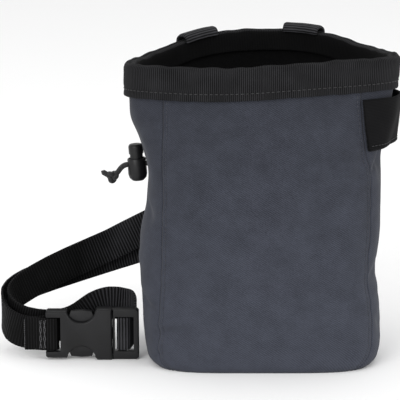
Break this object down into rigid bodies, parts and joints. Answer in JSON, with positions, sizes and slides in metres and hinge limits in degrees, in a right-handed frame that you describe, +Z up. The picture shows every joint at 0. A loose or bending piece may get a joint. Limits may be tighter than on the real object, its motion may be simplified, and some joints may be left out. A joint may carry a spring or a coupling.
{
  "type": "climbing chalk bag with waist belt",
  "caption": "Soft cylindrical chalk bag with a stiff banded mouth, draw cord and cord lock, brush loop, back belt loops and a buckled waist belt.",
  "frame": {"origin": "on the floor at the middle of the canvas base", "axes": "+Z up; the flat front panel faces -Y; +X is to the right seen from the front, so the belt and buckle lie towards -X"},
  "size_m": [0.2382, 0.1218, 0.1913],
  "materials": {
    "canvas": "slate blue-grey cotton twill canvas, matt",
    "fleece": "black fleece lining",
    "band": "black ribbed grosgrain band",
    "webbing": "black woven polyester webbing",
    "plastic": "black satin moulded acetal",
    "cord": "black braided round cord"
  },
  "bodies": {
    "bag": {"front_panel": "canvas", "side_back_panel": "canvas", "base_panel": "canvas", "lining": "fleece", "rim_band": "band", "brush_loop": "band", "belt_loop_left": "webbing", "belt_loop_right": "webbing", "belt_webbing": "webbing", "buckle_female": "plastic", "buckle_male": "plastic", "cord_lock_barrel": "plastic", "draw_cord": "cord", "cord_knot": "cord"},
    "lock_button": {"cord_lock_button": "plastic"}
  },
  "joints": [
    {"name": "button_press", "type": "slide", "parent": "bag", "child": "lock_button", "axis": [-0.0698, 0, 0.9976], "range_m": [-0.004, 0], "stiffness_N_per_m": 600, "springref_m": 0.002}
  ]
}
